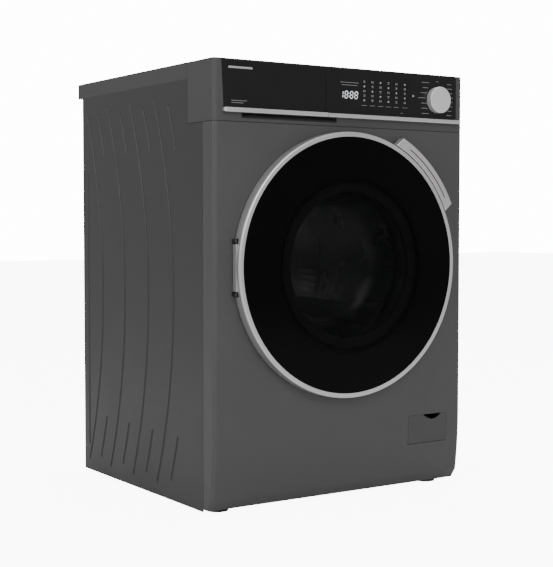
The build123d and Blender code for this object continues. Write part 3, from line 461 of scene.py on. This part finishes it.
MOTOR_PAINT = Finish("motor_enamel", (0.09, 0.09, 0.095), 0.45, grain_scale=250.0,
                     grain_height=0.15, wear_colour=(0.3, 0.3, 0.3))
SPRING_STEEL = Finish("spring_steel", (0.22, 0.22, 0.23), 0.35, metallic=1.0, grain_height=0.05,
                      wear_colour=(0.5, 0.5, 0.5))
BOARD = Finish("circuit_board", (0.02, 0.12, 0.045), 0.35, grain_scale=300.0, grain_height=0.3,
               mottle=0.3, mottle_scale=80.0)
LAMP_WHITE = Finish("lit_segment", (0.85, 0.87, 0.9), 0.5, grain_height=0.01, mottle=0.03, wear=0.0,
                    glow=0.3)
PRINT_WHITE = Finish("white_print", (0.30, 0.30, 0.31), 0.5, grain_height=0.01, mottle=0.08,
                     wear=0.0)
PRINT_GREY = Finish("grey_print", (0.16, 0.16, 0.165), 0.5, grain_height=0.01, mottle=0.08,
                    wear=0.0)


class FinishRack:
    """Makes each finish's material once, and puts finishes on pieces."""

    def __init__(self) -> None:
        """Builds the shared groups."""
        self.groups = GroupShelf()
        self.made: dict[str, bpy.types.Material] = {}

    def material(self, finish: Finish) -> bpy.types.Material:
        """The material of a finish.

        Args:
            finish: the finish.

        Returns:
            Its material, made on first use.
        """
        if finish.name not in self.made:
            self.made[finish.name] = finish.build(self.groups)
        return self.made[finish.name]

    def coat(self, piece: bpy.types.Object, finish: Finish) -> None:
        """Puts a finish all over a piece.

        Args:
            piece: the object.
            finish: the finish it gets.
        """
        slots = piece.material_slots
        if not slots:
            piece.data.materials.append(self.material(finish))
            return
        for slot in slots:
            slot.material = self.material(finish)


@dataclass
class Workshop:
    """What every sub-assembly needs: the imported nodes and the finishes."""

    frame: dict
    rack: FinishRack

    def dress(self, finishes: dict[str, Finish]) -> None:
        """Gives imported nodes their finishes.

        Args:
            finishes: node name to finish.
        """
        for node, finish in finishes.items():
            self.rack.coat(self.frame["nodes"][node], finish)
            LOG.info("dressed %s in %s", node, finish.name)

    def add(self, name: str, mesh: bpy.types.Mesh, finish: Finish, slot: str) -> bpy.types.Object:
        """Adds a new piece.

        Args:
            name: the piece's name.
            mesh: its mesh.
            finish: its finish.
            slot: the record's material slot; not used.

        Returns:
            The object.
        """
        piece = bpy.data.objects.new(name, mesh)
        bpy.context.scene.collection.objects.link(piece)
        self.rack.coat(piece, finish)
        LOG.info("made %s", name)
        return piece


# --------------------------------------------------------------------------- mesh helpers
def finish_mesh(name: str, shape: bmesh.types.BMesh, smooth: bool = True) -> bpy.types.Mesh:
    """Turns a bmesh into a mesh.

    Args:
        name: the mesh's name.
        shape: the bmesh, which is freed.
        smooth: whether its faces are shaded smooth.

    Returns:
        The mesh.
    """
    bmesh.ops.recalc_face_normals(shape, faces=shape.faces)
    for face in shape.faces:
        face.smooth = smooth
    mesh = bpy.data.meshes.new(name)
    shape.to_mesh(mesh)
    shape.free()
    return mesh


def turn_profile(name: str, profile: list[Point], steps: int) -> bpy.types.Mesh:
    """Turns a closed profile round the door's axis.

    Args:
        name: the mesh's name.
        profile: (depth, radius) points in millimetres, a closed loop.
        steps: how many stations go round.

    Returns:
        The mesh.
    """
    shape = bmesh.new()
    rings = []
    for step in range(steps):
        turn = math.tau * step / steps
        rings.append([shape.verts.new((r * math.cos(turn) * MM, y * MM,
                                       (DOOR_Z + r * math.sin(turn)) * MM)) for y, r in profile])
    count = len(profile)
    for step in range(steps):
        here, there = rings[step], rings[(step + 1) % steps]
        for index in range(count):
            after = (index + 1) % count
            shape.faces.new((here[index], here[after], there[after], there[index]))
    return finish_mesh(name, shape)


def sweep_round(name: str, path: list[Vector], radii: list[float], sides: int,
                bore: float = 0.0) -> bpy.types.Mesh:
    """Sweeps a round section along points, as a tube when it has a bore.

    Args:
        name: the mesh's name.
        path: the points in millimetres.
        radii: the outer radius at each point.
        sides: sides of the section.
        bore: how much smaller the inner wall is, or 0 for a solid rod.

    Returns:
        The mesh.
    """
    shape = bmesh.new()
    loops: list[list[bmesh.types.BMVert]] = []
    passes = [(path, radii, 0.0)]
    if bore:
        passes.append((path[::-1], radii[::-1], bore))
    for points, sizes, thin in passes:
        side = Vector((1, 0, 0))
        for index, point in enumerate(points):
            ahead = points[min(index + 1, len(points) - 1)] - points[max(index - 1, 0)]
            ahead.normalize()
            side = (side - ahead * side.dot(ahead)).normalized()
            up = ahead.cross(side)
            if thin:
                up = -up
            size = sizes[index] - thin
            loops.append([shape.verts.new((point + side * math.cos(math.tau * k / sides) * size
                                           + up * math.sin(math.tau * k / sides) * size) * MM)
                          for k in range(sides)])
    for first, second in zip(loops, loops[1:] + ([loops[0]] if bore else [])):
        for k in range(sides):
            shape.faces.new((first[k], first[(k + 1) % sides], second[(k + 1) % sides], second[k]))
    if not bore:
        shape.faces.new(loops[0])
        shape.faces.new(loops[-1])
    return finish_mesh(name, shape)


def stamp_plates(name: str, outlines: list[list[Point]], face_y: float,
                 thick: float) -> bpy.types.Mesh:
    """Makes thin flat marks that face the front.

    Args:
        name: the mesh's name.
        outlines: closed outlines in (X, Z) millimetres.
        face_y: depth of the surface they lie on.
        thick: how proud they stand.

    Returns:
        The mesh.
    """
    shape = bmesh.new()
    for outline in outlines:
        front = [shape.verts.new((x * MM, (face_y - thick) * MM, z * MM)) for x, z in outline]
        back = [shape.verts.new((x * MM, face_y * MM, z * MM)) for x, z in outline]
        shape.faces.new(front)
        shape.faces.new(back[::-1])
        count = len(outline)
        for index in range(count):
            after = (index + 1) % count
            shape.faces.new((front[index], front[after], back[after], back[index]))
    return finish_mesh(name, shape, smooth=False)


def bar_outline(x: float, z: float, width: float, height: float) -> list[Point]:
    """Outline of a plain bar round its middle."""
    return [(x - width / 2, z - height / 2), (x + width / 2, z - height / 2),
            (x + width / 2, z + height / 2), (x - width / 2, z + height / 2)]


def disc_outline(x: float, z: float, radius: float, sides: int = 14) -> list[Point]:
    """Outline of a small disc."""
    return [(x + radius * math.cos(math.tau * k / sides),
             z + radius * math.sin(math.tau * k / sides))
            for k in range(sides)]


# --------------------------------------------------------------------------- sub-assemblies
@dataclass
class Cabinet:
    """Panels, worktop, base and feet."""

    shop: Workshop

    def dress(self) -> None:
        """Puts finishes on the cabinet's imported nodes."""
        self.shop.dress({
            # The sides take the darker copy of the graphite paint: painted shade.
            "side_left": SHADED_SIDE_PAINT, "side_right": SHADED_SIDE_PAINT, "front_panel": GRAPHITE_PAINT,
            "worktop": GRAPHITE_PLASTIC, "rear_panel": GALVANISED, "rear_screws": ZINC,
            "rear_grommets": BLACK_PLASTIC, "base_tray": GALVANISED, "top_braces": GALVANISED,
            "flap_frame": BLACK_PLASTIC, "service_flap": GRAPHITE_PLASTIC,
            "foot_front_left": BLACK_PLASTIC, "foot_front_right": BLACK_PLASTIC,
            "foot_rear_left": BLACK_PLASTIC, "foot_rear_right": BLACK_PLASTIC})


class Segment(Enum):
    """The seven bars of a display digit, as (x, z, upright) in digit widths."""

    TOP = (0.5, 2.0, False)
    UPPER_LEFT = (0.0, 1.5, True)
    UPPER_RIGHT = (1.0, 1.5, True)
    MIDDLE = (0.5, 1.0, False)
    LOWER_LEFT = (0.0, 0.5, True)
    LOWER_RIGHT = (1.0, 0.5, True)
    BOTTOM = (0.5, 0.0, False)


@dataclass
class ControlPanel:
    """Fascia, dark glass with its generic marks, trim, knob and board."""

    shop: Workshop
    glass_y: float = -280.5
    proud: float = 0.06
    digit_wide: float = 6.6
    digit_tall: float = 13.2
    stroke: float = 1.7
    digit_low: float = 786.2
    digit_starts: tuple[float, ...] = (-3.5, 9.0, 20.4)
    hour_start: float = -15.0
    digit_lean: float = 0.08
    colon_x: float = 6.6
    colon_heights: tuple[float, ...] = (4.0, 9.4)
    icon_columns: tuple[float, ...] = (44.0, 64.0, 84.0, 104.0, 124.0, 145.5)
    icon_rows: tuple[float, ...] = (784.0, 793.0, 802.0, 811.0, 820.0)
    icon_caption_z: float = 774.0
    display_captions: tuple[Point, ...] = ((816.5, 44.0), (811.5, 38.0))
    caption_thick: float = 1.3
    left_captions: int = 7
    left_caption_x: float = 202.0
    left_caption_low: float = 765.5
    left_caption_pitch: float = 10.4
    right_captions: int = 8
    right_caption_x: float = 266.0
    right_caption_low: float = 764.0
    right_caption_pitch: float = 9.0
    lone_captions: tuple[tuple[float, float, float], ...] = ((138.0, 763.0, 5.0),
                                                             (230.0, 831.0, 6.0))
    start_mark: tuple[Point, ...] = ((165.5, 796.0), (170.5, 799.0), (165.5, 802.0))

    def segment_bar(self, start: float, segment: Segment) -> list[Point]:
        """Outline of one display bar, with pointed ends and a slight slant.

        Args:
            start: left of the digit.
            segment: which bar.

        Returns:
            Its outline.
        """
        across, up, upright = segment.value
        x = start + across * self.digit_wide
        z = self.digit_low + up * self.digit_tall / 2
        reach = self.digit_tall / 4 - 0.5 if upright else self.digit_wide / 2 - 0.5
        half = self.stroke / 2
        loop = [(-reach, 0), (-reach + half, -half), (reach - half, -half), (reach, 0),
                (reach - half, half), (-reach + half, half)]
        if upright:
            loop = [(-b, a) for a, b in loop]
        return [(x + a + (z + b - self.digit_low) * self.digit_lean, z + b) for a, b in loop]

    def make_digits(self) -> None:
        """Makes the lit time display."""
        marks = [self.segment_bar(self.hour_start, segment)
                 for segment in (Segment.UPPER_RIGHT, Segment.LOWER_RIGHT)]
        for start in self.digit_starts:
            marks += [self.segment_bar(start, segment) for segment in Segment]
        marks += [disc_outline(self.colon_x, self.digit_low + up, 0.8)
                  for up in self.colon_heights]
        mesh = stamp_plates("display_digits", marks, self.glass_y, self.proud)
        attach(self.shop.add("display_digits", mesh, LAMP_WHITE, "silver_trim"), "cabinet")

    def make_icons(self) -> None:
        """Makes the rows of small option marks."""
        marks: list[list[Point]] = []
        for number, x in enumerate(self.icon_columns):
            for row, z in enumerate(self.icon_rows):
                if (number + row) % 3 == 0:
                    marks.append(disc_outline(x, z, 2.0))
                elif (number + row) % 3 == 1:
                    marks += [bar_outline(x, z + 1.4, 5.0, 1.0), bar_outline(x, z - 1.4, 3.4, 1.0)]
                else:
                    marks += [bar_outline(x - 1.6, z, 1.1, 4.2), bar_outline(x + 1.6, z, 1.1, 4.2)]
        marks.append(list(self.start_mark))
        mesh = stamp_plates("option_icons", marks, self.glass_y, self.proud)
        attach(self.shop.add("option_icons", mesh, PRINT_WHITE, "silver_trim"), "cabinet")

    def make_captions(self) -> None:
        """Makes the plain dashes that stand where captions would be."""
        marks = [bar_outline(8.0, z, wide, 1.1) for z, wide in self.display_captions]
        marks += [bar_outline(x, self.icon_caption_z, 13.0, 1.0) for x in self.icon_columns]
        for row in range(self.left_captions):
            wide = 24.0 - 3.0 * (row % 3)
            middle = self.left_caption_x - wide / 2 + abs(row - self.left_captions // 2) * 3.0
            height = self.left_caption_low + row * self.left_caption_pitch
            marks.append(bar_outline(middle, height, wide * 0.8, self.caption_thick))
        for row in range(self.right_captions):
            middle = self.right_caption_x - abs(row - (self.right_captions - 1) / 2) * 1.2
            height = self.right_caption_low + row * self.right_caption_pitch
            marks.append(bar_outline(middle, height, 13.0 - 2.0 * (row % 2), self.caption_thick))
        marks += [bar_outline(x, z, wide, 1.2) for x, z, wide in self.lone_captions]
        mesh = stamp_plates("panel_captions", marks, self.glass_y, self.proud)
        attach(self.shop.add("panel_captions", mesh, PRINT_GREY, "silver_trim"), "cabinet")

    def dress(self) -> None:
        """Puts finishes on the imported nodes."""
        self.shop.dress({"fascia": GRAPHITE_PLASTIC, "control_glass": PANEL_GLASS,
                         "trim_strip": SILVER, "selector_knob": KNOB_SILVER,
                         "control_board": BOARD})

    def build(self) -> None:
        """Makes and dresses the whole panel."""
        self.dress()
        self.make_digits()
        self.make_icons()
        self.make_captions()


@dataclass
class DetergentDrawer:
    """Drawer, its front and the housing it slides in."""

    shop: Workshop
    glass_y: float = -280.5
    proud: float = 0.06
    badge: tuple[float, float, float, float] = (-241.0, 829.0, 52.0, 3.8)
    captions: tuple[tuple[float, float, float, float], ...] = ((-244.0, 768.6, 34.0, 1.2),
                                                               (-248.0, 764.6, 26.0, 1.2))

    def build(self) -> None:
        """Dresses the drawer and adds its plain marks."""
        self.shop.dress({"drawer_front": PANEL_GLASS, "drawer_trim": SILVER,
                         "drawer_tray": WHITE_PLASTIC, "siphon_cap": BLUE_PLASTIC,
                         "dispenser_housing": WHITE_PLASTIC})
        mesh = stamp_plates("drawer_badge", [bar_outline(*self.badge)], self.glass_y, self.proud)
        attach(self.shop.add("drawer_badge", mesh, PRINT_WHITE, "silver_trim"), "drawer")
        lines = [bar_outline(*caption) for caption in self.captions]
        mesh = stamp_plates("drawer_captions", lines, self.glass_y, self.proud)
        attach(self.shop.add("drawer_captions", mesh, PRINT_GREY, "silver_trim"), "drawer")


@dataclass
class PortholeDoor:
    """Door, its handle, latch and hinge."""

    shop: Workshop

    def dress(self) -> None:
        """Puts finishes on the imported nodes."""
        self.shop.dress({"door_glass": DOOR_GLASS, "door_ring": SILVER, "door_frame": BLACK_PLASTIC,
                         "door_bowl": CLEAR_GLASS, "door_hinge": SILVER,
                         "hinge_bracket": BLACK_PLASTIC, "door_handle": SILVER,
                         "handle_inlay": RED_LACQUER, "latch_hook": ZINC,
                         "door_lock": BLACK_PLASTIC})


@dataclass
class DoorGasket:
    """The rubber bellows between the front panel and the tub."""

    shop: Workshop
    front_y: float = -280.0
    rear_y: float = -231.5
    wall: float = 3.6
    steps: int = 144
    centre: tuple[Point, ...] = ((-277.6, 187.6), (-266.0, 187.5), (-260.5, 186.0), (-259.6, 178.0),
                                 (-259.8, 168.0), (-257.0, 163.2), (-252.0, 162.6), (-248.6, 165.0),
                                 (-247.8, 168.6), (-244.0, 170.0), (-233.5, 170.0))

    def profile(self) -> list[Point]:
        """The closed section: the centre line thickened to both sides.

        Returns:
            The section as (depth, radius) points in millimetres.
        """
        near: list[Point] = []
        far: list[Point] = []
        for index, (y, r) in enumerate(self.centre):
            y0, r0 = self.centre[max(index - 1, 0)]
            y1, r1 = self.centre[min(index + 1, len(self.centre) - 1)]
            run = math.hypot(y1 - y0, r1 - r0)
            across = (-(r1 - r0) / run * self.wall / 2, (y1 - y0) / run * self.wall / 2)
            near.append((y + across[0], r + across[1]))
            far.append((y - across[0], r - across[1]))
        return near + far[::-1]

    def build(self) -> None:
        """Makes the bellows in place of the imported gasket."""
        mesh = turn_profile("gasket_bellows", self.profile(), self.steps)
        piece = self.shop.add("gasket_bellows", mesh, GREY_RUBBER, "grey_rubber")
        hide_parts("gasket")
        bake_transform(piece)


@dataclass
class WashUnit:
    """Tub, drum, drive and everything bolted to them."""

    shop: Workshop

    def dress(self) -> None:
        """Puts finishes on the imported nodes."""
        self.shop.dress({
            "tub_front": TUB_PLASTIC, "tub_rear": TUB_PLASTIC, "tub_seal": BLACK_RUBBER,
            "counterweights": CONCRETE, "bearings": STEEL, "heater": STEEL, "drum_shell": STAINLESS,
            "drum_lifters": WHITE_PLASTIC, "drum_spider": CAST_METAL, "drum_pulley": CAST_METAL,
            "motor_housing": MOTOR_PAINT, "motor_shaft": STEEL, "drive_belt": BLACK_RUBBER,
            "damper_cylinders": BLACK_PLASTIC, "damper_rods": STEEL})


@dataclass
class Suspension:
    """The two coil springs that carry the tub."""

    shop: Workshop
    side_x: float = 270.0
    depth_y: float = 30.0
    low: float = 607.0
    high: float = 796.0
    coil: float = 9.0
    wire: float = 2.0
    turns: int = 20
    per_turn: int = 20

    def helix(self, x: float) -> list[Vector]:
        """Points along one spring.

        Args:
            x: where the spring stands.

        Returns:
            The points in millimetres, from its foot upwards.
        """
        total = self.turns * self.per_turn
        return [Vector((x + self.coil * math.cos(math.tau * k / self.per_turn),
                        self.depth_y + self.coil * math.sin(math.tau * k / self.per_turn),
                        self.low + self.wire + (self.high - self.low - 2 * self.wire) * k / total))
                for k in range(total + 1)]

    def build(self) -> None:
        """Makes both springs as one piece in place of the imported springs."""
        shape = bmesh.new()
        for x in (-self.side_x, self.side_x):
            path = self.helix(x)
            shape.from_mesh(sweep_round("coil", path, [self.wire] * len(path), 10))
        mesh = finish_mesh("suspension_coils", shape)
        piece = self.shop.add("suspension_coils", mesh, SPRING_STEEL, "spring_steel")
        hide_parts("suspension_springs")
        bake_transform(piece)


@dataclass
class Hoses:
    """The soft water ways inside the cabinet."""

    shop: Workshop
    spout: tuple[float, float] = (-165.0, -45.0)
    spout_low: float = 697.0
    spout_high: float = 746.0
    neck: float = 23.3
    rib_height: float = 3.6
    ribs: int = 4
    cuff: float = 0.2
    rippled: float = 0.62
    dispenser_wall: float = 2.8
    dispenser_steps: int = 48
    sump_route: tuple[tuple[float, float, float], ...] = (
        (60, -125, 171.5), (60, -140, 146), (62, -158, 127),
        (84, -188, 121.5), (108, -206, 121.8), (158.5, -210, 122))
    sump_neck: float = 15.4
    sump_rib: float = 1.5
    sump_wall: float = 2.0
    run_steps: int = 12

    def make_dispenser_bellows(self) -> None:
        """Makes the short bellows from the dispenser to the tub."""
        path: list[Vector] = []
        radii: list[float] = []
        for k in range(self.dispenser_steps + 1):
            share = k / self.dispenser_steps
            drop = (self.spout_low - self.spout_high) * share
            path.append(Vector((*self.spout, self.spout_high + drop)))
            inside = self.cuff < share < self.cuff + self.rippled
            ripple = 0.5 - 0.5 * math.cos((share - self.cuff) * self.ribs * math.tau / self.rippled)
            radii.append(self.neck + (self.rib_height * ripple if inside else 0.0))
        mesh = sweep_round("dispenser_bellows", path, radii, 40, bore=self.dispenser_wall)
        piece = self.shop.add("dispenser_bellows", mesh, BLACK_RUBBER, "black_rubber")
        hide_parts("dispenser_hose")
        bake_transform(piece)

    def make_sump_bellows(self) -> None:
        """Makes the ribbed hose from the tub's sump to the pump."""
        corners = [Vector(corner) for corner in self.sump_route]
        path: list[Vector] = []
        for index in range(len(corners) - 1):
            p0 = corners[max(index - 1, 0)]
            p1, p2 = corners[index], corners[index + 1]
            p3 = corners[min(index + 2, len(corners) - 1)]
            for k in range(self.run_steps):
                t = k / self.run_steps
                path.append(0.5 * (2 * p1 + (p2 - p0) * t + (2 * p0 - 5 * p1 + 4 * p2 - p3) * t * t
                                   + (3 * p1 - p0 - 3 * p2 + p3) * t ** 3))
        path.append(corners[-1])
        radii = [self.sump_neck + (self.sump_rib if 5 < k < len(path) - 6 and k % 4 < 2 else 0.0)
                 for k in range(len(path))]
        mesh = sweep_round("sump_bellows", path, radii, 32, bore=self.sump_wall)
        piece = self.shop.add("sump_bellows", mesh, BLACK_RUBBER, "black_rubber")
        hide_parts("sump_hose")
        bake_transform(piece)

    def build(self) -> None:
        """Makes the soft hoses and dresses the rest."""
        self.shop.dress({"inlet_hose": BLACK_RUBBER, "inlet_valve": WHITE_PLASTIC,
                         "pressure_switch": WHITE_PLASTIC})
        self.make_dispenser_bellows()
        self.make_sump_bellows()


@dataclass
class DrainPump:
    """Pump, its impeller and the filter."""

    shop: Workshop

    def dress(self) -> None:
        """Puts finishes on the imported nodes."""
        self.shop.dress({"pump_housing": WHITE_PLASTIC, "pump_impeller": BLACK_PLASTIC,
                         "filter_plug": BLACK_PLASTIC})


@dataclass
class Studio:
    """Floor, light and camera."""

    lens: float = 80.33
    sensor: float = 36.0
    eye: tuple[float, float, float] = (-1.4716, -2.2650, 0.5492)
    tilt: float = 87.146
    yaw: float = -33.423
    floor_lift: float = 9.0
    backdrop: float = 14.0
    sky: float = 0.55
    floor_reach: float = 14.0
    aim: tuple[float, float, float] = (0.0, 0.0, 0.45)
    lamps: tuple[tuple[str, tuple[float, float, float], float, float], ...] = (
        ("front_softbox", (-0.6, -3.6, 2.4), 2.6, 84.0),
        ("left_softbox", (-3.4, -0.6, 1.8), 2.2, 52.0),
        ("top_softbox", (0.4, 0.3, 3.4), 2.4, 60.0))

    def make_floor(self) -> None:
        """Lays the pale floor."""
        shape = bmesh.new()
        bmesh.ops.create_grid(shape, x_segments=2, y_segments=2, size=self.floor_reach)
        mesh = finish_mesh("floor", shape)
        floor = bpy.data.objects.new("floor", mesh)
        bpy.context.scene.collection.objects.link(floor)
        material = bpy.data.materials.new("pale_floor")
        material.use_nodes = True
        shader = material.node_tree.nodes["Principled BSDF"]
        w = Wiring(material.node_tree)
        ray = w.node("ShaderNodeLightPath")
        shader.inputs["Base Color"].default_value = (0.9, 0.9, 0.9, 1.0)
        shader.inputs["Emission Color"].default_value = (1.0, 1.0, 1.0, 1.0)
        w.feed(w.math("MULTIPLY", ray.outputs["Is Camera Ray"], self.floor_lift),
               shader.inputs["Emission Strength"])
        shader.inputs["Roughness"].default_value = 0.9
        shader.inputs["Specular IOR Level"].default_value = 0.0
        mesh.materials.append(material)

    def make_lamp(self, name: str, place: tuple[float, float, float], size: float,
                  power: float) -> None:
        """Hangs one soft lamp that points at the middle of the machine.

        Args:
            name: the lamp's name.
            place: where it hangs.
            size: side of its square face.
            power: its power in watts.
        """
        lamp = bpy.data.lights.new(name, "AREA")
        lamp.energy = power
        lamp.size = size
        holder = bpy.data.objects.new(name, lamp)
        holder.location = place
        beam = Vector(self.aim) - Vector(place)
        holder.rotation_euler = beam.to_track_quat("-Z", "Y").to_euler()
        bpy.context.scene.collection.objects.link(holder)

    def make_sky(self) -> None:
        """Sets the even light all round, seen white behind the object."""
        world = bpy.data.worlds.new("studio")
        world.use_nodes = True
        bpy.context.scene.world = world
        w = Wiring(world.node_tree)
        back = world.node_tree.nodes["Background"]
        back.inputs["Color"].default_value = (1.0, 1.0, 1.0, 1.0)
        ray = w.node("ShaderNodeLightPath")
        lift = w.math("MULTIPLY", ray.outputs["Is Camera Ray"], self.backdrop)
        w.feed(w.math("ADD", self.sky, lift), back.inputs["Strength"])

    def make_camera(self) -> None:
        """Places the camera."""
        lens = bpy.data.cameras.new("camera")
        lens.lens = self.lens
        lens.sensor_width = self.sensor
        lens.clip_end = 60.0
        camera = bpy.data.objects.new("camera", lens)
        camera.location = self.eye
        camera.rotation_euler = (math.radians(self.tilt), 0.0, math.radians(self.yaw))
        bpy.context.scene.collection.objects.link(camera)
        bpy.context.scene.camera = camera

    def build(self) -> None:
        """Sets up the whole studio."""
        self.make_camera()
        self.make_floor()
        self.make_sky()
        for name, place, size, power in self.lamps:
            self.make_lamp(name, place, size, power)


def main() -> None:
    """Builds every sub-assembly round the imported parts."""
    logging.basicConfig(level=logging.INFO, format="%(name)s: %(message)s")
    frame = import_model()
    shop = Workshop(frame, FinishRack())
    Studio().build()
    Cabinet(shop).dress()
    ControlPanel(shop).build()
    DetergentDrawer(shop).build()
    PortholeDoor(shop).dress()
    DoorGasket(shop).build()
    WashUnit(shop).dress()
    Suspension(shop).build()
    Hoses(shop).build()
    DrainPump(shop).dress()


if __name__ == "__main__":
    main()
